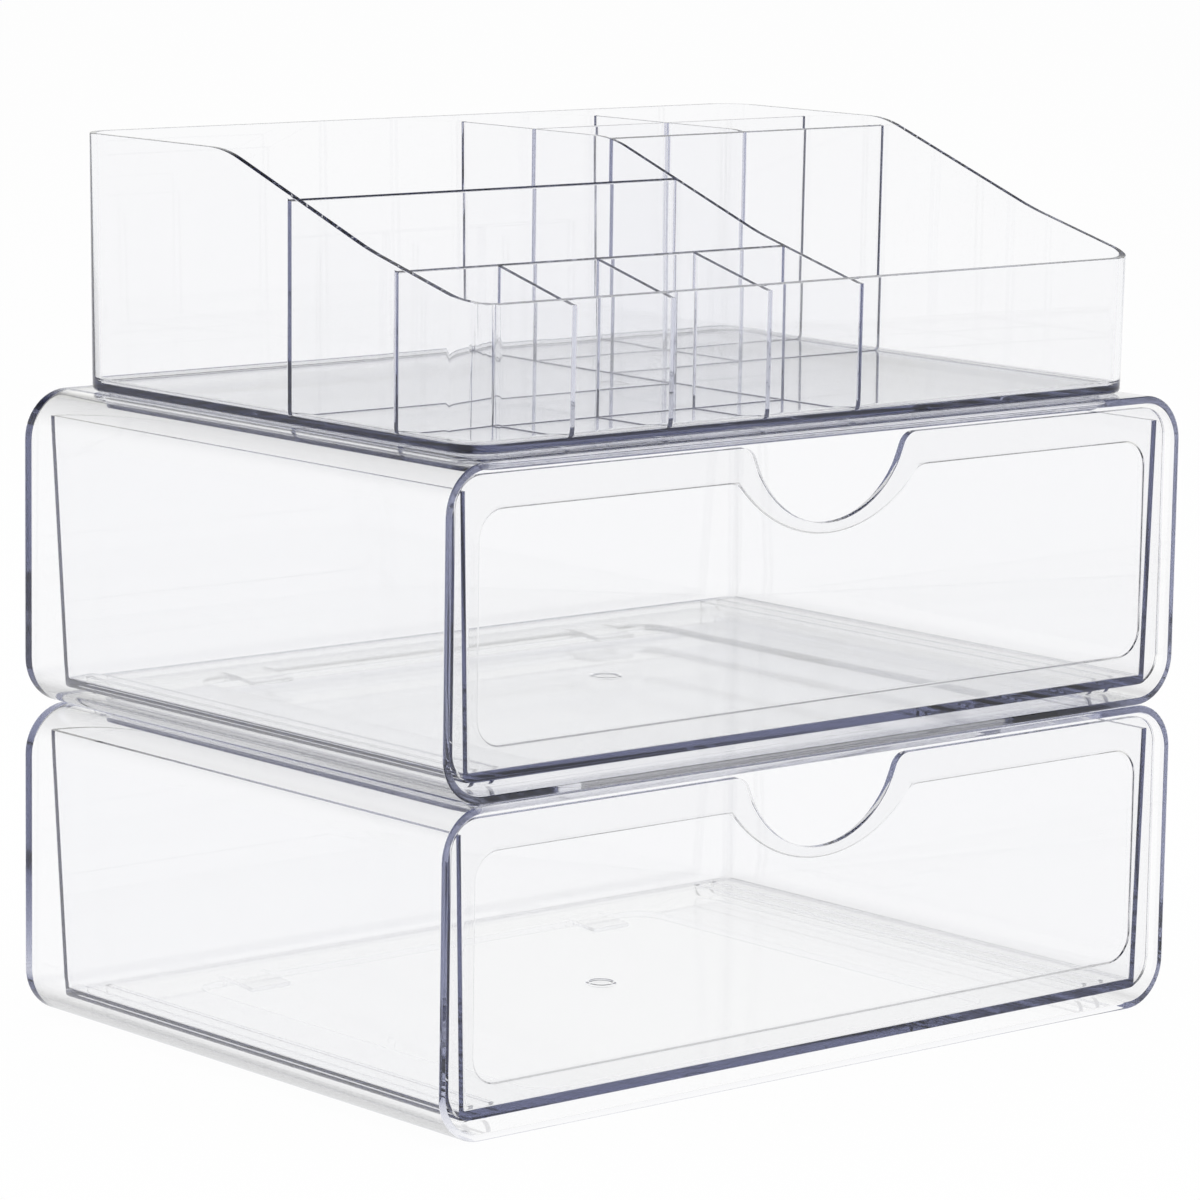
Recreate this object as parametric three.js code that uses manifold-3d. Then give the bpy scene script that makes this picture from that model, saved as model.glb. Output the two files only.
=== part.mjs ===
// Acrylic makeup organizer: two stacked drawer units under a sloped, divided tray.
// Millimetres, +Z up, the front faces -Y, and the origin is the middle of the lower casing's underside.
import * as THREE from "three";
import { mergeVertices } from "three/addons/utils/BufferGeometryUtils.js";
import Module from "manifold-3d";

const wasm = await Module();
wasm.setup();

// Casing: a sleeve with a closed back, moulded in one piece
const casing_width = 317;
const casing_depth = 219;
const casing_height = 104.4;
const casing_corner = 16;
const casing_wall = 2.4;
const casing_back_edge = 1.5;
const casing_rim_edge = 0.7;
const bay_end_edge = 1;
const bay_draft = 0.5;

// Seat in the top of a casing, which the next casing or the tray stands over
const seat_side_inset = 22.5;
const seat_end_inset = 14;
const seat_depth = 2.6;
const seat_corner = 9;
const seat_slant = 0.4;
const rest_gap = 0.3;

// Opening in the casing's floor, with two spring tongues on its back edge
const cutout_width = 200;
const cutout_front_inset = 24;
const cutout_back_inset = 17;
const cutout_corner = 10;
const tongue_spacing = 150;
const tongue_width = 16.5;
const tongue_length = 12;
const tongue_thickness = 1.4;
const slit_width = 1.2;
const slit_length = 5;

// Drawer: a tub behind a larger front plate
const front_width = 307;
const front_thickness = 2.5;
const front_setback = 2;
const front_lift = 6.5;
const front_top_clearance = 1.8;
const front_corner = 10;
const tub_side_inset = 8;
const tub_back_clearance = 2.4;
const tub_rim_drop = 4.7;
const tub_wall = 2;
const tub_floor = 2.8;
const tub_corner = 2.4;
const tub_edge = 1.2;
const tub_inner_corner = 0.8;
const tub_inner_edge = 0.6;
const tub_side_draft_share = 0.027;
const tub_back_draft_share = 0.054;

// Finger notch in the front plate, and the sunk panel that dips round it
const notch_radius = 34;
const notch_centre_rise = 7.6;
const notch_fillet = 6;
const panel_side_border = 9.4;
const panel_low_border = 10;
const panel_high_border = 10.5;
const panel_corner = 9.5;
const panel_sink = 0.6;
const panel_slope = 0.5;
const panel_dip_radius = 50;
const panel_dip_border = 3;
const panel_fillet = 8;

// Runners: a pair of thin ribs under each side of the drawer
const runner_inset = 20;
const runner_pitch = 8;
const runner_width = 1.8;
const runner_end_inset = 6;
const runner_nose = 3;

// Tray: an open tub whose rim slopes down to the front
const tray_width = 288.6;
const tray_depth = 203.6;
const tray_forward = 1.3;
const tray_back_height = 84.1;
const tray_front_height = 45.2;
const tray_lift = 0.5;
const tray_wall = 2.2;
const tray_floor = 2.6;
const tray_corner = 12;
const tray_edge = 1.5;
const tray_inner_edge = 2;
const tray_draft_share = 0.009;
const tray_back_draft_share = 0.02;
const slope_front_inset = 1.6;
const slope_run = 122;
const slope_knee_run = 49;
const slope_knee_rise = 12.9;
const slope_crest_radius = 45;
const slope_knee_radius = 150;
const slope_foot_radius = 30;

// Foot ring under the tray, which drops into the casing's seat
const foot_clearance = 0.4;
const foot_width = 2;

// Dividers in the tray, placed from its left inner wall and its front inner wall
const divider = 1.8;
const divider_drop = 2.3;
const spine_from_left = 159.4;
const cross_from_left = 219.6;
const cross_rows_from_front = [121.6, 161.7];
const shelf_rows_from_front = [35.7, 88.7];
const small_columns_from_left = [39.5, 79.5, 120];

// Facets of a quarter turn, and how far a cut runs past what it cuts
const corner_steps = 12;
const edge_steps = 4;
const overrun = 5;
const same_point = 0.000001;
const quarter_turn = Math.PI / 2;

// Places that follow from the sizes above
const stack_pitch = casing_height + rest_gap;
const front_y = -casing_depth / 2;
const back_y = casing_depth / 2;
const floor_top = casing_wall;
const ceiling = casing_height - casing_wall;

// How far each side of a tub leans out, as a share of its height
const tub_lean = { front: 0, side: tub_side_draft_share, back: tub_back_draft_share };
const tray_lean = { front: tray_draft_share, side: tray_draft_share, back: tray_draft_share };
const tray_inner_lean = { front: tray_draft_share, side: tray_draft_share, back: tray_back_draft_share };

// Four sides of a rectangle on a plane, and the same rectangle grown by a margin
function sides(left, right, low, high) {
  return { left, right, low, high };
}

function grown(area, margin) {
  return sides(area.left - margin, area.right + margin, area.low - margin, area.high + margin);
}

// The rectangle that a leaning tub has at some depth under its rim
function leaned(rim, lean, depth) {
  return sides(
    rim.left + lean.side * depth,
    rim.right - lean.side * depth,
    rim.low + lean.front * depth,
    rim.high - lean.back * depth,
  );
}

// Points of a rectangle with rounded corners, counted anticlockwise
function rounded_outline(area, radius) {
  const { left, right, low, high } = area;
  const shape = new THREE.Shape();
  shape.absarc(right - radius, low + radius, radius, -quarter_turn, 0);
  shape.absarc(right - radius, high - radius, radius, 0, quarter_turn);
  shape.absarc(left + radius, high - radius, radius, quarter_turn, 2 * quarter_turn);
  shape.absarc(left + radius, low + radius, radius, 2 * quarter_turn, 3 * quarter_turn);
  return shape.getPoints(corner_steps / 2);
}

// A closed three.js geometry as a solid that can be joined and cut
function solid(geometry) {
  const bare = geometry.clone();
  bare.deleteAttribute("normal");
  bare.deleteAttribute("uv");
  const merged = mergeVertices(bare);
  const vertProperties = new Float32Array(merged.attributes.position.array);
  const triVerts = new Uint32Array(merged.index.array);
  return new wasm.Manifold(new wasm.Mesh({ numProp: 3, vertProperties, triVerts }));
}

// A skin over outlines of equal point count, each at its own height along +Z, closed at both ends
function loft(sections) {
  const count = sections[0].outline.length;
  const positions = [];
  for (const { outline, at } of sections) {
    outline.forEach((point) => positions.push(point.x, point.y, at));
  }
  const faces = [];
  for (let ring = 0; ring + 1 < sections.length; ring += 1) {
    for (let point = 0; point < count; point += 1) {
      const here = ring * count + point;
      const next = ring * count + ((point + 1) % count);
      faces.push(here, next, next + count, here, next + count, here + count);
    }
  }
  const top = (sections.length - 1) * count;
  for (const [a, b, c] of THREE.ShapeUtils.triangulateShape(sections[0].outline, [])) {
    faces.push(a, c, b);
  }
  for (const [a, b, c] of THREE.ShapeUtils.triangulateShape(sections.at(-1).outline, [])) {
    faces.push(top + a, top + b, top + c);
  }
  const geometry = new THREE.BufferGeometry();
  geometry.setAttribute("position", new THREE.Float32BufferAttribute(positions, 3));
  geometry.setIndex(faces);
  return geometry;
}

// Stands a shape drawn as front view (X right, Y up) along the depth, its depth axis pointing forward
function face_front(geometry) {
  return geometry.rotateX(quarter_turn);
}

// A front-view outline made solid from one depth to another
function plate(shape, front, back) {
  const geometry = new THREE.ExtrudeGeometry(shape, {
    depth: back - front,
    bevelEnabled: false,
    curveSegments: corner_steps,
  });
  geometry.translate(0, 0, -back);
  return solid(face_front(geometry));
}

// A side-view outline (X to the back, Y up) made solid from one side to the other
function side_profile(shape, left, right) {
  const geometry = new THREE.ExtrudeGeometry(shape, {
    depth: right - left,
    bevelEnabled: false,
    curveSegments: corner_steps,
  });
  geometry.rotateX(quarter_turn);
  geometry.rotateZ(quarter_turn);
  geometry.translate(left, 0, 0);
  return solid(geometry);
}

// Quarter-round edge: how far the outline is drawn in, at each step along the edge's depth
function edge_profile(radius) {
  return Array.from({ length: edge_steps + 1 }, (_, step) => {
    const angle = (quarter_turn * step) / edge_steps;
    return { inset: radius * (1 - Math.sin(angle)), along: radius * (1 - Math.cos(angle)) };
  });
}

// Outlines of a tub: rounded corners, rounded underside, each side leaning out up to the rim
function tub_sections(rim, corner, low, high, lean, edge) {
  const sections = edge_profile(edge).map(({ inset, along }) => {
    const level = leaned(rim, lean, high - low - along);
    return { outline: rounded_outline(grown(level, -inset), corner - inset), at: low + along };
  });
  sections.push({ outline: rounded_outline(rim, corner), at: high });
  return sections;
}

// The hollow of a tub, which runs on straight past the rim to cut it open
function tub_hollow(rim, corner, low, high, lean, edge) {
  const past_rim = { outline: rounded_outline(rim, corner), at: high + overrun };
  return solid(loft([...tub_sections(rim, corner, low, high, lean, edge), past_rim]));
}

// A straight block with rounded corners in plan
function rounded_block(area, corner, low, high, slant = 0) {
  return solid(
    loft([
      { outline: rounded_outline(grown(area, -slant), corner), at: low },
      { outline: rounded_outline(area, corner), at: high },
    ]),
  );
}

// A plain block between two corners
function block(left, right, front, back, low, high) {
  const geometry = new THREE.BoxGeometry(right - left, back - front, high - low);
  geometry.translate((left + right) / 2, (front + back) / 2, (low + high) / 2);
  return solid(geometry);
}

// The sleeve's outside: rounded along its length, round the back and at the front rim
function casing_outside() {
  const area = sides(-casing_width / 2, casing_width / 2, 0, casing_height);
  const ring = (inset, y) => ({
    outline: rounded_outline(grown(area, -inset), casing_corner - inset),
    at: -y,
  });
  const back = edge_profile(casing_back_edge).map(({ inset, along }) => ring(inset, back_y - along));
  const rim = edge_profile(casing_rim_edge).map(({ inset, along }) => ring(inset, front_y + along));
  return solid(face_front(loft([...back, ...rim.reverse()])));
}

// The drawer bay: its sides and ceiling open a little towards the front, and its floor is level
function casing_bay() {
  const half_width = casing_width / 2 - casing_wall;
  const mouth = sides(-half_width, half_width, floor_top, ceiling);
  const bay_corner = casing_corner - casing_wall;
  const bay_back = back_y - casing_wall;
  const bay_length = bay_back - front_y;
  const ring = (inset, y) => {
    const lean = (bay_draft * (y - front_y)) / bay_length;
    const area = sides(mouth.left + lean, mouth.right - lean, mouth.low, mouth.high - lean);
    return { outline: rounded_outline(grown(area, -inset), bay_corner - inset), at: -y };
  };
  const back = edge_profile(bay_end_edge).map(({ inset, along }) => ring(inset, bay_back - along));
  return solid(face_front(loft([...back, ring(0, front_y - overrun)])));
}

// Plan of the seat in the casing's top
const seat_area = sides(
  -casing_width / 2 + seat_side_inset,
  casing_width / 2 - seat_side_inset,
  front_y + seat_end_inset,
  back_y - seat_end_inset,
);

// The top wall steps down under the seat, so it keeps its thickness
function seat_step() {
  const area = grown(seat_area, casing_wall);
  const low = casing_height - seat_depth - casing_wall;
  const high = ceiling + casing_wall / 2;
  return rounded_block(area, seat_corner + casing_wall, low, high, seat_slant);
}

function seat_hollow() {
  const low = casing_height - seat_depth;
  return rounded_block(seat_area, seat_corner, low, casing_height + overrun, seat_slant);
}

// Plan of the opening in the casing's floor
const cutout_area = sides(
  -cutout_width / 2,
  cutout_width / 2,
  front_y + cutout_front_inset,
  back_y - cutout_back_inset,
);

function cutout_hollow() {
  return rounded_block(cutout_area, cutout_corner, -overrun, floor_top + casing_wall / 2);
}

// One spring tongue: it leaves the cut-out's back edge level with the floor and dips to its underside
function tongue(centre_x) {
  const root = cutout_area.high + slit_length;
  const tip = cutout_area.high - tongue_length;
  const shape = new THREE.Shape();
  shape.moveTo(root, floor_top);
  shape.lineTo(cutout_area.high, floor_top);
  shape.lineTo(tip, tongue_thickness);
  shape.lineTo(tip, 0);
  shape.lineTo(cutout_area.high, floor_top - tongue_thickness);
  shape.lineTo(root, floor_top - tongue_thickness);
  return side_profile(shape, centre_x - tongue_width / 2, centre_x + tongue_width / 2);
}

// The two slits that free a tongue's root, one on each side
function tongue_slits(centre_x) {
  const reach = tongue_width / 2;
  const front = cutout_area.high - overrun;
  const back = cutout_area.high + slit_length;
  const high = floor_top + casing_wall / 2;
  const slit = (left) => block(left, left + slit_width, front, back, -overrun, high);
  return slit(centre_x - reach - slit_width).add(slit(centre_x + reach));
}

function casing() {
  let shell = casing_outside().subtract(casing_bay());
  shell = shell.add(seat_step()).subtract(seat_hollow()).subtract(cutout_hollow());
  for (const centre_x of [-tongue_spacing / 2, tongue_spacing / 2]) {
    shell = shell.subtract(tongue_slits(centre_x)).add(tongue(centre_x));
  }
  return shell;
}

// Front plate of the drawer, as seen from the front
const plate_front = front_y + front_setback;
const plate_back = plate_front + front_thickness;
const plate_area = sides(-front_width / 2, front_width / 2, front_lift, ceiling - front_top_clearance);
const panel_area = sides(
  plate_area.left + panel_side_border,
  plate_area.right - panel_side_border,
  plate_area.low + panel_low_border,
  plate_area.high - panel_high_border,
);

const notch_centre = plate_area.high + notch_centre_rise;

// Half-round bite out of a straight top edge, with its two mouth corners rounded
function bite(edge_z, centre_z, radius, fillet) {
  const rise = centre_z - edge_z + fillet;
  const fillet_x = Math.sqrt((radius + fillet) ** 2 - rise ** 2);
  const tilt = Math.asin(rise / (radius + fillet));
  const shape = new THREE.Shape();
  shape.moveTo(fillet_x, edge_z + overrun);
  shape.absarc(fillet_x, edge_z - fillet, fillet, quarter_turn, 2 * quarter_turn - tilt);
  shape.absarc(0, centre_z, radius, -tilt, tilt - 2 * quarter_turn, true);
  shape.absarc(-fillet_x, edge_z - fillet, fillet, tilt, quarter_turn);
  shape.lineTo(-fillet_x, edge_z + overrun);
  return shape;
}

// Points of a drawn shape, counted anticlockwise, none of them twice
function drawn_outline(shape) {
  const points = shape.getPoints(corner_steps);
  const reaches_next = (point, index) => point.distanceTo(points[(index + 1) % points.length]) < same_point;
  return points.filter((point, index) => !reaches_next(point, index)).reverse();
}

// The sunk panel's hollow: its step slopes, and its top edge dips round the notch
function sunk_panel() {
  const floor = plate_front + panel_sink;
  const dip_centre = notch_centre - notch_radius - panel_dip_border + panel_dip_radius;
  const edge = (slope) => rounded_outline(grown(panel_area, -slope), panel_corner - slope);
  const dip_radius = (slope) => panel_dip_radius + slope;
  const dip_fillet = (slope) => panel_fillet - slope;
  const dip = (slope) =>
    drawn_outline(bite(panel_area.high - slope, dip_centre, dip_radius(slope), dip_fillet(slope)));
  const hollow = loft([
    { outline: edge(panel_slope), at: -floor },
    { outline: edge(0), at: -plate_front },
    { outline: edge(0), at: overrun - plate_front },
  ]);
  const raised = loft([
    { outline: dip(panel_slope), at: -floor - overrun },
    { outline: dip(panel_slope), at: -floor },
    { outline: dip(0), at: -plate_front },
    { outline: dip(0), at: 2 * overrun - plate_front },
  ]);
  return solid(face_front(hollow)).subtract(solid(face_front(raised)));
}

// The tub behind the plate: the plate is its front wall and hides its front corners
const tub_rim = sides(
  -casing_width / 2 + tub_side_inset,
  casing_width / 2 - tub_side_inset,
  plate_back - tub_corner,
  back_y - casing_wall - tub_back_clearance,
);
const tub_inside = sides(
  tub_rim.left + tub_wall,
  tub_rim.right - tub_wall,
  plate_back,
  tub_rim.high - tub_wall,
);
const tub_top = plate_area.high - tub_rim_drop;

function runners() {
  const front = plate_back + runner_end_inset;
  const back = tub_rim.high - tub_edge - runner_end_inset;
  const low = floor_top + rest_gap;
  const high = front_lift + tub_floor / 2;
  const shape = new THREE.Shape();
  shape.moveTo(front, high);
  shape.lineTo(front, low + runner_nose);
  shape.absarc(front + runner_nose, low + runner_nose, runner_nose, 2 * quarter_turn, 3 * quarter_turn);
  shape.absarc(back - runner_nose, low + runner_nose, runner_nose, 3 * quarter_turn, 4 * quarter_turn);
  shape.lineTo(back, high);
  const places = [];
  for (const inset of [runner_inset, runner_inset + runner_pitch]) {
    places.push(-casing_width / 2 + inset, casing_width / 2 - inset);
  }
  return places.map((x) => side_profile(shape, x - runner_width / 2, x + runner_width / 2));
}

function drawer() {
  const outline = new THREE.Shape(rounded_outline(plate_area, front_corner));
  const notch = bite(plate_area.high, notch_centre, notch_radius, notch_fillet);
  const tub = solid(loft(tub_sections(tub_rim, tub_corner, front_lift, tub_top, tub_lean, tub_edge)));
  const hollow_low = front_lift + tub_floor;
  const inside = tub_hollow(tub_inside, tub_inner_corner, hollow_low, tub_top, tub_lean, tub_inner_edge);
  let body = plate(outline, plate_front, plate_back).add(tub);
  for (const runner of runners()) {
    body = body.add(runner);
  }
  body = body.subtract(inside).subtract(sunk_panel());
  return body.subtract(plate(notch, plate_front - overrun, plate_back + overrun));
}

// Tray, drawn where it stands on the upper casing
const tray_low = stack_pitch + casing_height + tray_lift;
const tray_back_top = tray_low + tray_back_height;
const tray_front_top = tray_low + tray_front_height;
const tray_rim = sides(
  -tray_width / 2,
  tray_width / 2,
  -tray_depth / 2 - tray_forward,
  tray_depth / 2 - tray_forward,
);
const tray_inside = grown(tray_rim, -tray_wall);
const slope_foot = tray_rim.low + slope_front_inset;
const slope_knee = slope_foot + slope_knee_run;
const slope_crest = slope_foot + slope_run;

// Corner between two straight runs, rounded by a curve tangent to both, close to an arc of that radius
function rounded_bend(shape, y, z, radius, from, to) {
  const reach = radius * Math.tan(Math.abs(to - from) / 2);
  const start = new THREE.Vector2(y - reach * Math.cos(from), z - reach * Math.sin(from));
  const end = new THREE.Vector2(y + reach * Math.cos(to), z + reach * Math.sin(to));
  shape.lineTo(start.x, start.y);
  shape.quadraticCurveTo(y, z, end.x, end.y);
}

// Everything some way under the tray's rim, seen from the side: level front, two slopes, level back
function under_slope(drop) {
  const foot_z = tray_front_top - drop;
  const knee_z = foot_z + slope_knee_rise;
  const crest_z = tray_back_top - drop;
  const gentle = Math.PI + Math.atan2(knee_z - foot_z, slope_knee_run);
  const steep = Math.PI + Math.atan2(crest_z - knee_z, slope_run - slope_knee_run);
  const shape = new THREE.Shape();
  shape.moveTo(tray_rim.high + overrun, tray_low - tray_depth);
  shape.lineTo(tray_rim.high + overrun, crest_z);
  rounded_bend(shape, slope_crest, crest_z, slope_crest_radius, Math.PI, steep);
  rounded_bend(shape, slope_knee, knee_z, slope_knee_radius, steep, gentle);
  rounded_bend(shape, slope_foot, foot_z, slope_foot_radius, gentle, Math.PI);
  shape.lineTo(tray_rim.low - overrun, foot_z);
  shape.lineTo(tray_rim.low - overrun, tray_low - tray_depth);
  return side_profile(shape, tray_rim.left - overrun, tray_rim.right + overrun);
}

function dividers() {
  const low = tray_low + tray_floor / 2;
  const left_wall = tray_rim.left + tray_wall / 2;
  const right_wall = tray_rim.right - tray_wall / 2;
  const front_wall = tray_rim.low + tray_wall / 2;
  const back_wall = tray_rim.high - tray_wall / 2;
  const across = (from, to, y) => block(from, to, y - divider / 2, y + divider / 2, low, tray_back_top);
  const along = (x, from, to) => block(x - divider / 2, x + divider / 2, from, to, low, tray_back_top);
  const spine_x = tray_inside.left + spine_from_left;
  const cross_rows = cross_rows_from_front.map((y) => tray_inside.low + y);
  const shelf_rows = shelf_rows_from_front.map((y) => tray_inside.low + y);
  const walls = [
    along(spine_x, front_wall, back_wall),
    along(tray_inside.left + cross_from_left, cross_rows[0], back_wall),
    ...cross_rows.map((y) => across(spine_x, right_wall, y)),
    ...shelf_rows.map((y) => across(left_wall, spine_x, y)),
    ...small_columns_from_left.map((x) => along(tray_inside.left + x, front_wall, shelf_rows[0])),
  ];
  return walls.reduce((joined, wall) => joined.add(wall));
}

function tray() {
  const sections = tub_sections(tray_rim, tray_corner, tray_low, tray_back_top, tray_lean, tray_edge);
  const outside = solid(loft(sections));
  const inside = tub_hollow(
    tray_inside,
    tray_corner - tray_wall,
    tray_low + tray_floor,
    tray_back_top,
    tray_inner_lean,
    tray_inner_edge,
  );
  const walls = dividers().intersect(outside).intersect(under_slope(divider_drop));
  const foot_area = grown(seat_area, -foot_clearance);
  const foot_low = stack_pitch + casing_height - seat_depth + rest_gap;
  const foot_high = tray_low + tray_floor / 2;
  const foot = rounded_block(foot_area, seat_corner, foot_low, foot_high).subtract(
    rounded_block(grown(foot_area, -foot_width), seat_corner - foot_width, foot_low - overrun, tray_low),
  );
  const shell = outside.intersect(under_slope(0)).subtract(inside);
  return shell.add(walls).add(foot);
}

// A named sub-part from a solid, in its own material
function sub_part(name, body, material) {
  const { numProp, vertProperties, triVerts } = body.getMesh();
  const positions = new Float32Array((vertProperties.length / numProp) * 3);
  for (let vertex = 0; vertex * numProp < vertProperties.length; vertex += 1) {
    for (let axis = 0; axis < 3; axis += 1) {
      positions[vertex * 3 + axis] = vertProperties[vertex * numProp + axis];
    }
  }
  const geometry = new THREE.BufferGeometry();
  geometry.setAttribute("position", new THREE.BufferAttribute(positions, 3));
  geometry.setIndex(Array.from(triVerts));
  const mesh = new THREE.Mesh(geometry, material);
  mesh.name = name;
  return mesh;
}

function clear_plastic(colour) {
  return new THREE.MeshStandardMaterial({
    color: colour,
    roughness: 0.05,
    metalness: 0,
    transparent: true,
    opacity: 0.35,
  });
}

const casing_plastic = clear_plastic(0xe9ebf3);
const drawer_plastic = clear_plastic(0xeef0f6);
const tray_plastic = clear_plastic(0xf1f2f6);

const organizer = new THREE.Group();
organizer.name = "makeup_organizer";
for (const [name, lift] of [["lower", 0], ["upper", stack_pitch]]) {
  const unit = new THREE.Group();
  unit.position.z = lift;
  unit.add(sub_part(`${name}_casing`, casing(), casing_plastic));
  unit.add(sub_part(`${name}_drawer`, drawer(), drawer_plastic));
  organizer.add(unit);
}
organizer.add(sub_part("tray", tray(), tray_plastic));

export default organizer;
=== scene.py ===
import math

import bmesh
import bpy
import numpy as np
from mathutils import Matrix


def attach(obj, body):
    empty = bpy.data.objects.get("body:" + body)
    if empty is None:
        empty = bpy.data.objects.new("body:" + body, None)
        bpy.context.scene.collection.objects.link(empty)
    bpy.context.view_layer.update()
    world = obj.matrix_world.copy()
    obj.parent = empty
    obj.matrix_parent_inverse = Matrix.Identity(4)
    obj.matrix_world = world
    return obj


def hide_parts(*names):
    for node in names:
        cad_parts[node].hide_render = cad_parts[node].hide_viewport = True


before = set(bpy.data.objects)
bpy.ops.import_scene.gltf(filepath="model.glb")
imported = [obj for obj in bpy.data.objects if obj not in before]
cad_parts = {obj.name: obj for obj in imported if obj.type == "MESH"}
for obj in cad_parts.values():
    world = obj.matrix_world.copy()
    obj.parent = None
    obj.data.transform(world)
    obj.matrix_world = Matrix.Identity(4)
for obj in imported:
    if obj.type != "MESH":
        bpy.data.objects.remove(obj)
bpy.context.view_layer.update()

# The view. The photograph looks at the organizer from its front left corner, a little above the
# tray, through a long lens, and leans a little to one side.
camera_place = (-1.155146, -1.326757, 0.424014)
camera_azimuth = math.radians(40.984)
camera_drop = math.radians(9.195)
camera_roll = math.radians(0.9155)
camera_lens = 160.63
camera_sensor = 36.0
camera_reach = 100.0

camera_data = bpy.data.cameras.new("camera")
camera_data.sensor_fit = "HORIZONTAL"
camera_data.sensor_width = camera_sensor
camera_data.lens = camera_lens
camera_data.clip_end = camera_reach
camera = bpy.data.objects.new("camera", camera_data)
bpy.context.scene.collection.objects.link(camera)
camera.matrix_world = (
    Matrix.Translation(camera_place)
    @ Matrix.Rotation(-camera_azimuth, 4, "Z")
    @ Matrix.Rotation(math.pi / 2 - camera_drop, 4, "X")
    @ Matrix.Rotation(camera_roll, 4, "Z")
)
bpy.context.scene.camera = camera
bpy.context.scene.view_settings.view_transform = "Standard"


# The studio. A white sweep stands under and behind the organizer, and the room over it is dimmer,
# so that clear plastic shows its edges as darker lines on white. A wide soft lamp hangs above.
class Value:
    """A number's socket that can be written in a formula, each sign adding its Math node."""

    def __init__(self, tree, socket):
        self.tree = tree
        self.socket = socket

    def math(self, operation, *values):
        return add_node(self.tree, "ShaderNodeMath", {"operation": operation}, values)

    def __add__(self, other):
        return self.math("ADD", self, other)

    def __sub__(self, other):
        return self.math("SUBTRACT", self, other)

    def __mul__(self, other):
        return self.math("MULTIPLY", self, other)

    def __truediv__(self, other):
        return self.math("DIVIDE", self, other)

    def __rsub__(self, other):
        return self.math("SUBTRACT", other, self)

    def __rtruediv__(self, other):
        return self.math("DIVIDE", other, self)

    def __pow__(self, other):
        return self.math("POWER", self, other)

    def greatest(self, other):
        return self.math("MAXIMUM", self, other)

    def power_of_e(self):
        return self.math("EXPONENT", self)

    __radd__ = __add__
    __rmul__ = __mul__


def feed(tree, socket, value):
    """Sets a socket to a number or colour, or links another node's output to it."""
    if isinstance(value, Value):
        tree.links.new(value.socket, socket)
    else:
        socket.default_value = value


def add_node(tree, kind, settings=None, values=(), output=0):
    """Adds one node, sets it first, feeds its sockets by number or name, and gives an output."""
    node = tree.nodes.new(kind)
    for name, setting in (settings or {}).items():
        setattr(node, name, setting)
    pairs = values.items() if isinstance(values, dict) else enumerate(values)
    for key, value in pairs:
        feed(tree, node.inputs[key], value)
    return Value(tree, node.outputs[output])


def new_material(name):
    """A material with only its output node, with that node and its tree."""
    material = bpy.data.materials.new(name)
    material.use_nodes = True
    tree = material.node_tree
    tree.nodes.clear()
    return material, tree, tree.nodes.new("ShaderNodeOutputMaterial")


def seen_white(tree):
    """1 where a ray comes from the lens, straight or through gloss or clear plastic, else 0."""
    rays = tree.nodes.new("ShaderNodeLightPath").outputs
    lens = Value(tree, rays["Is Camera Ray"])
    return lens.greatest(Value(tree, rays["Is Glossy Ray"])).greatest(
        Value(tree, rays["Is Transmission Ray"])
    )


floor_reach = 30.0
floor_colour = (0.9, 0.9, 0.9, 1.0)
floor_white_share = 0.98
floor_white = (1.0, 1.0, 1.0, 1.0)
zenith_grey = 0.05
zenith_start = 0.28
zenith_full = 0.62
sky_warmth = 0.03
lamp_size = 2.6
lamp_height = 2.4
lamp_power = 60.0
most_bounces = 220

world = bpy.data.worlds.new("white_room")
bpy.context.scene.world = world
world.use_nodes = True
sky = world.node_tree
sky.nodes.clear()
sky_output = sky.nodes.new("ShaderNodeOutputWorld")
direction = add_node(sky, "ShaderNodeTexCoord", output="Generated")
height = add_node(sky, "ShaderNodeSeparateXYZ", values=[direction], output="Z")
dimming = add_node(
    sky,
    "ShaderNodeMapRange",
    {"interpolation_type": "SMOOTHSTEP"},
    {
        "Value": height,
        "From Min": zenith_start,
        "From Max": zenith_full,
        "To Min": 1.0,
        "To Max": zenith_grey,
    },
)
lens_ray = Value(sky, sky.nodes.new("ShaderNodeLightPath").outputs["Is Camera Ray"])
shown = dimming.greatest(lens_ray)
warmth = shown * (lens_ray * sky_warmth + (1.0 - sky_warmth))
sky_colour = add_node(sky, "ShaderNodeCombineColor", values=[shown, shown, warmth])
sky_light = add_node(sky, "ShaderNodeBackground", values={"Color": sky_colour, "Strength": 1.0})
feed(sky, sky_output.inputs["Surface"], sky_light)

floor_corners = [
    (-floor_reach, -floor_reach, 0.0),
    (floor_reach, -floor_reach, 0.0),
    (floor_reach, floor_reach, 0.0),
    (-floor_reach, floor_reach, 0.0),
]
floor_mesh = bpy.data.meshes.new("floor")
floor_mesh.from_pydata(floor_corners, [], [(0, 1, 2, 3)])
floor = bpy.data.objects.new("floor", floor_mesh)
bpy.context.scene.collection.objects.link(floor)
sweep, tree, output = new_material("white_sweep")
matt = add_node(tree, "ShaderNodeBsdfDiffuse", values={"Color": floor_colour})
white = add_node(tree, "ShaderNodeEmission", values={"Color": floor_white, "Strength": 1.0})
blend = add_node(
    tree, "ShaderNodeMixShader", values=[seen_white(tree) * floor_white_share, matt, white]
)
feed(tree, output.inputs["Surface"], blend)
floor_mesh.materials.append(sweep)

lamp_data = bpy.data.lights.new("soft_lamp", "AREA")
lamp_data.shape = "SQUARE"
lamp_data.size = lamp_size
lamp_data.energy = lamp_power
lamp = bpy.data.objects.new("soft_lamp", lamp_data)
lamp.location = (0.0, 0.0, lamp_height)
lamp.visible_glossy = False
lamp.visible_transmission = False
bpy.context.scene.collection.objects.link(lamp)

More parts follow.
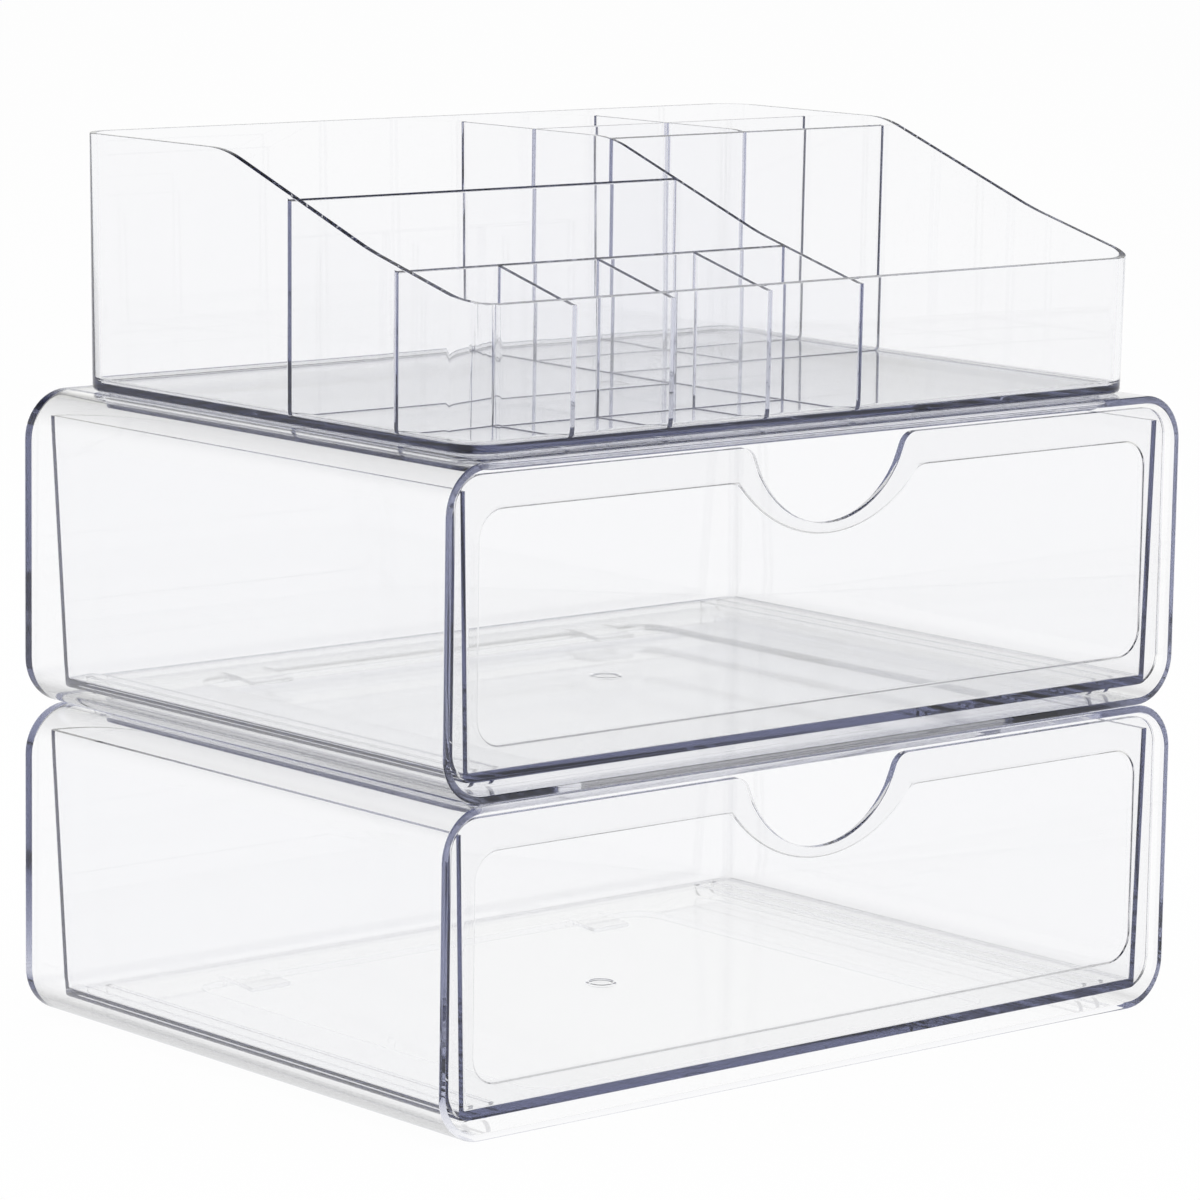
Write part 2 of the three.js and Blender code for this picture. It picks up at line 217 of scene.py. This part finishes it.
# Light that runs along inside a sheet turns back at its faces many times before it comes out.
bpy.context.scene.cycles.max_bounces = most_bounces
bpy.context.scene.cycles.transmission_bounces = most_bounces
bpy.context.scene.cycles.glossy_bounces = most_bounces


# The casings. Two like open-fronted boxes of clear moulded plastic, the upper one standing on the
# lower one's rim. Light that runs inside the sheet comes out blue grey at its edges, and painted
# shade darkens the edges seen at a skim and the casings' lower corners.
plastic_ior = 1.5
haze = 0.02
haze_scale = 22.0
haze_detail = 2.0
# The skim values paint a blue grey shade into the colour where the plastic is seen edge on.
skim_start = 0.76
skim_painted_shade = (0.74, 0.72, 0.60)
wave_scale = 14.0
wave_detail = 1.0
wave_height = 0.00004
mark_width = 0.0006
mark_height = 0.00008
weld_reach = 0.00004
level_angle = 0.4
sharp_angle = 28.0
edge_faces = 3
edge_fullness = 0.5
room_share = 1.8
gloss_crease = 38.0
least_area = 1e-12


def clear_plastic(name, absorption, density, marks, shade=None):
    """Clear moulded plastic. It has colour in depth, a painted shade where it is seen at a skim
    that darkens its contours, a faint haze in patches, walls that wave a little, as moulded sheet
    does, and a low ring round each point in marks, where the plastic ran into the mould. Shade
    turns x, y, z and how far the surface is turned away into a grey of painted shade."""
    material, tree, output = new_material(name)
    place = add_node(tree, "ShaderNodeTexCoord", output="Object")
    patches, waves = [
        add_node(
            tree, "ShaderNodeTexNoise", values={"Vector": place, "Scale": scale, "Detail": detail}
        )
        for scale, detail in ((haze_scale, haze_detail), (wave_scale, wave_detail))
    ]
    relief = waves * wave_height
    for middle, radius in marks:
        away = add_node(
            tree, "ShaderNodeVectorMath", {"operation": "DISTANCE"}, [place, middle], "Value"
        )
        across = (away - radius) / mark_width
        relief = relief + (across * across * -1.0).power_of_e() * mark_height
    normal = add_node(tree, "ShaderNodeBump", values={"Distance": 1.0, "Height": relief})
    turned_away = add_node(tree, "ShaderNodeLayerWeight", output="Facing")
    # Painted shade: the colour darkens where the surface is turned away from the eye, so contours
    # read dark.
    skimming = add_node(
        tree,
        "ShaderNodeMapRange",
        {"interpolation_type": "SMOOTHSTEP"},
        {"Value": turned_away, "From Min": skim_start, "From Max": 1.0},
    )
    axes = [
        add_node(tree, "ShaderNodeSeparateXYZ", values=[place], output=axis) for axis in "XYZ"
    ]
    # A shade function lays its painted shade over the colour as a grey.
    grey = shade(*axes, turned_away) if shade else 1.0
    channels = [(1.0 - skimming * loss) * grey for loss in skim_painted_shade]
    colour = add_node(tree, "ShaderNodeCombineColor", values=channels)
    plastic = add_node(
        tree,
        "ShaderNodeBsdfPrincipled",
        values={
            "Base Color": colour,
            "Roughness": patches * haze,
            "IOR": plastic_ior,
            "Transmission Weight": 1.0,
            "Normal": normal,
        },
    )
    depth = add_node(
        tree, "ShaderNodeVolumeAbsorption", values={"Color": absorption, "Density": density}
    )
    feed(tree, output.inputs["Surface"], plastic)
    feed(tree, output.inputs["Volume"], depth)
    return material


def read_array(items, name, kind, width):
    """One property of all items of a mesh as an array, a row for each item."""
    values = np.empty(len(items) * width, dtype=kind)
    items.foreach_get(name, values)
    return values.reshape(-1, width) if width > 1 else values


def even_gloss(mesh, crease):
    """Gloss normals for a moulded skin. At a face's corner they are the mean of the faces round
    that corner that turn from it by less than the crease angle, weighted by area, so that a broad
    flat face stays flat and a narrow rounding takes up the whole turn."""
    corner_point = read_array(mesh.loops, "vertex_index", int, 1)
    face_corners = read_array(mesh.polygons, "loop_total", int, 1)
    face_normal = read_array(mesh.polygons, "normal", float, 3)
    face_area = read_array(mesh.polygons, "area", float, 1)
    corner_face = np.repeat(np.arange(len(face_corners)), face_corners)
    order = np.argsort(corner_point, kind="stable")
    round_point = np.bincount(corner_point)
    first = np.cumsum(round_point) - round_point
    partners = round_point[corner_point]
    corner = np.repeat(np.arange(len(corner_point)), partners)
    step = np.arange(len(corner)) - np.repeat(np.cumsum(partners) - partners, partners)
    other = order[first[corner_point[corner]] + step]
    own_face, other_face = corner_face[corner], corner_face[other]
    near = (face_normal[own_face] * face_normal[other_face]).sum(axis=1) > math.cos(crease)
    weight = np.where(near, face_area[other_face], 0.0)[:, None] * face_normal[other_face]
    total = np.stack(
        [np.bincount(corner, weight[:, axis], len(corner_point)) for axis in range(3)], axis=1
    )
    flat = np.linalg.norm(total, axis=1) < least_area
    total[flat] = face_normal[corner_face[flat]]
    total /= np.linalg.norm(total, axis=1)[:, None]
    mesh.normals_split_custom_set(total.tolist())


def merged_copy(node, name, material, edge, body):
    """The CAD node's loose triangles as one closed skin: equal corners become one, level faces
    are joined, and each sharp edge with room round it gets a small round of three faces."""
    skin = bmesh.new()
    skin.from_mesh(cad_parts[node].data)
    bmesh.ops.remove_doubles(skin, verts=skin.verts, dist=weld_reach)
    bmesh.ops.dissolve_degenerate(skin, edges=skin.edges, dist=weld_reach)
    bmesh.ops.dissolve_limit(
        skin, angle_limit=math.radians(level_angle), verts=skin.verts, edges=skin.edges
    )
    room = {point: min(side.calc_length() for side in point.link_edges) for point in skin.verts}
    sharp = [
        side
        for side in skin.edges
        if side.is_manifold
        and side.calc_face_angle() > math.radians(sharp_angle)
        and min(room[point] for point in side.verts) > edge * room_share
    ]
    bmesh.ops.bevel(
        skin,
        geom=sharp,
        offset=edge,
        offset_type="OFFSET",
        segments=edge_faces,
        profile=edge_fullness,
        affect="EDGES",
        clamp_overlap=False,
        loop_slide=True,
    )
    moulding = bpy.data.meshes.new(name)
    skin.to_mesh(moulding)
    skin.free()
    moulding.polygons.foreach_set("use_smooth", np.ones(len(moulding.polygons), dtype=bool))
    even_gloss(moulding, math.radians(gloss_crease))
    moulding.materials.append(material)
    piece = bpy.data.objects.new(name, moulding)
    bpy.context.scene.collection.objects.link(piece)
    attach(piece, body)
    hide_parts(node)


casing_tint = (0.30, 0.33, 0.52, 1.0)
casing_density = 8.0
casing_edge = 0.0004
wall_mark = 0.0018
casing_marks = [
    ((-0.1585, -0.0815, 0.1927), wall_mark),
    ((-0.1585, -0.0855, 0.029), wall_mark),
]
# Where the casings' painted shade falls, and how dark it is: the lower corner rounds and the
# upper casing's front rim.
corner_start = 0.1425
corner_radius = 0.016
corner_painted_shade = 1.2
slant_start = 0.45
slant_span = 0.18
rim_back = -0.1085
rim_height = 0.0024
rim_painted_shade = 0.72
window_half_width = 0.104
unit_pitch = 0.1047


def height_in_unit(z):
    """Height over the underside of the casing that a place belongs to."""
    return z - unit_pitch * z.math("GREATER_THAN", z, unit_pitch)


def casing_painted_shade(x, y, z, turned_away):
    """Painted shade for the shadow under each casing: greyer along its two rounded lower corners,
    most at the middle of the round and only where the surface is turned well away from the eye.
    The upper casing's lower front rim, which stands over the dark gap between the casings, is
    given painted shade too."""
    up = height_in_unit(z)
    outward = ((x.math("ABSOLUTE", x) - corner_start) / corner_radius).greatest(0.0)
    downward = (1.0 - up / corner_radius).greatest(0.0)
    slant = ((turned_away - slant_start) / slant_span).greatest(0.0)
    along = slant.math("MINIMUM", slant, 1.0)
    on_rim = y.math("LESS_THAN", y, rim_back)
    over_gap = z.math("GREATER_THAN", z, unit_pitch) * up.math("LESS_THAN", up, rim_height)
    on_window = x.math("LESS_THAN", x.math("ABSOLUTE", x), window_half_width)
    # Painted shade on the upper casing's lower front rim, over the dark gap below it.
    rim = on_rim * over_gap * on_window * rim_painted_shade
    return (1.0 - outward * downward * along * corner_painted_shade) * (1.0 - rim)


casing_plastic = clear_plastic(
    "casing_plastic", casing_tint, casing_density, casing_marks, casing_painted_shade
)
for level in ("lower", "upper"):
    merged_copy(
        f"{level}_casing", f"{level}_casing_moulding", casing_plastic, casing_edge,
        f"{level}_unit",
    )

# The drawers. Each is a tub behind a broad front plate, moulded in one piece, with a sunk panel
# and a half-round finger notch in the plate and two thin runners under each side.
drawer_edge = 0.0003
drawer_density = 13.0
floor_mark = 0.0046
drawer_marks = [((0.0, 0.0, 0.0093), floor_mark), ((0.0, 0.0, 0.114), floor_mark)]
plate_back = -0.1052
panel_half_width = 0.1441
panel_low = 0.0165
panel_high = 0.0897
panel_corner = 0.0095
dip_centre = 0.1208
dip_radius = 0.05
border_grey = 0.945
# The step's width and value paint a grey line of shade down the panel's step.
step_width = 0.0005
step_painted_shade = 0.6


def plate_border_and_painted_step(x, y, z, turned_away):
    """A little greyer on the front plate outside its sunk panel, and a painted shade as a grey
    line down the panel's step. The panel is a rectangle with rounded corners, less the disc that
    dips round the notch."""
    up = height_in_unit(z)
    middle = (panel_low + panel_high) / 2
    half_height = (panel_high - panel_low) / 2
    beyond_x = (x.math("ABSOLUTE", x) - (panel_half_width - panel_corner)).greatest(0.0)
    rise = up - middle
    beyond_z = (rise.math("ABSOLUTE", rise) - (half_height - panel_corner)).greatest(0.0)
    past_edge = (beyond_x * beyond_x + beyond_z * beyond_z) ** 0.5 - panel_corner
    drop = up - dip_centre
    past_dip = dip_radius - (x * x + drop * drop) ** 0.5
    outside = past_edge.greatest(past_dip)
    border = outside.math("GREATER_THAN", outside, 0.0) * (1.0 - border_grey)
    off_step = outside + step_width / 2
    step = off_step.math("LESS_THAN", off_step.math("ABSOLUTE", off_step), step_width / 2)
    on_plate = y.math("LESS_THAN", y, plate_back)
    return 1.0 - on_plate * border.greatest(step * (1.0 - step_painted_shade))


drawer_plastic = clear_plastic(
    "drawer_plastic", casing_tint, drawer_density, drawer_marks, plate_border_and_painted_step
)
for level in ("lower", "upper"):
    merged_copy(
        f"{level}_drawer", f"{level}_drawer_moulding", drawer_plastic, drawer_edge,
        f"{level}_drawer_body",
    )

# The tray. A loose open tub in one moulding, whose rim falls in a long bend from the back to the
# front. Thin dividers cross it, and a ring under its base drops into the seat below.
tray_edge = 0.0003
tray_marks = [((0.0, 0.0, 0.2124), floor_mark)]
tray_density = 14.0
tray_plastic = clear_plastic("tray_plastic", casing_tint, tray_density, tray_marks)
merged_copy("tray", "tray_moulding", tray_plastic, tray_edge, "tray_body")
